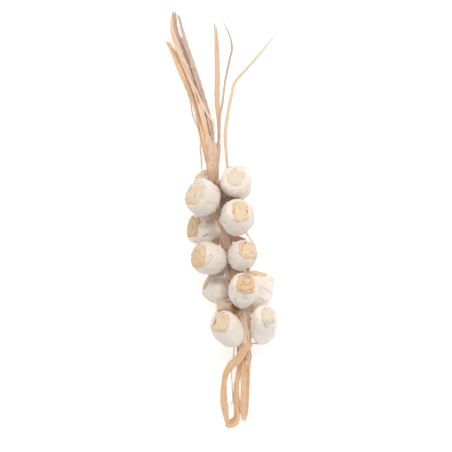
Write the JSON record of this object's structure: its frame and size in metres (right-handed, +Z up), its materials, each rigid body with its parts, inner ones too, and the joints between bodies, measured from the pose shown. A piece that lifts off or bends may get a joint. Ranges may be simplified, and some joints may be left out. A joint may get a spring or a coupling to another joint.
{
  "type": "garlic braid",
  "caption": "Braid of dry garlic lying down: white papery bulbs with tan root plates tied along a plait of straw-coloured leaves, with long loose leaf ends.",
  "frame": {"origin": "on the ground under the centre of the braid's box", "axes": "+Y along the braid towards its crown of long leaves, +Z up, off the ground, towards the shown side"},
  "size_m": [0.146, 0.5476, 0.096],
  "materials": {
    "skin": "white papery garlic skin, satin",
    "roots": "trimmed dry roots, tan, matt",
    "plait": "dry twisted leaf, pinkish tan, matt",
    "leaf": "dry straw-coloured leaf, fibrous, matt"
  },
  "bodies": {
    "root": {"bulb_1_left": "skin", "bulb_1_right": "skin", "bulb_1_back": "skin", "bulb_2_left": "skin", "bulb_2_right": "skin", "bulb_3_left": "skin", "bulb_3_right": "skin", "bulb_4_back": "skin", "bulb_4_left": "skin", "bulb_4_right": "skin", "bulb_5_left": "skin", "bulb_5_right": "skin", "strand_1": "plait", "strand_2": "plait", "strand_3": "plait", "crown_leaf_1": "leaf", "crown_leaf_2": "leaf", "crown_leaf_3": "leaf", "crown_leaf_4": "leaf", "crown_leaf_5": "leaf", "crown_leaf_6": "leaf", "crown_leaf_7": "leaf", "tail_leaf_1": "leaf", "tail_leaf_2": "leaf", "tail_leaf_3": "leaf", "tail_leaf_4": "leaf", "tail_leaf_5": "leaf"}
  },
  "joints": []
}
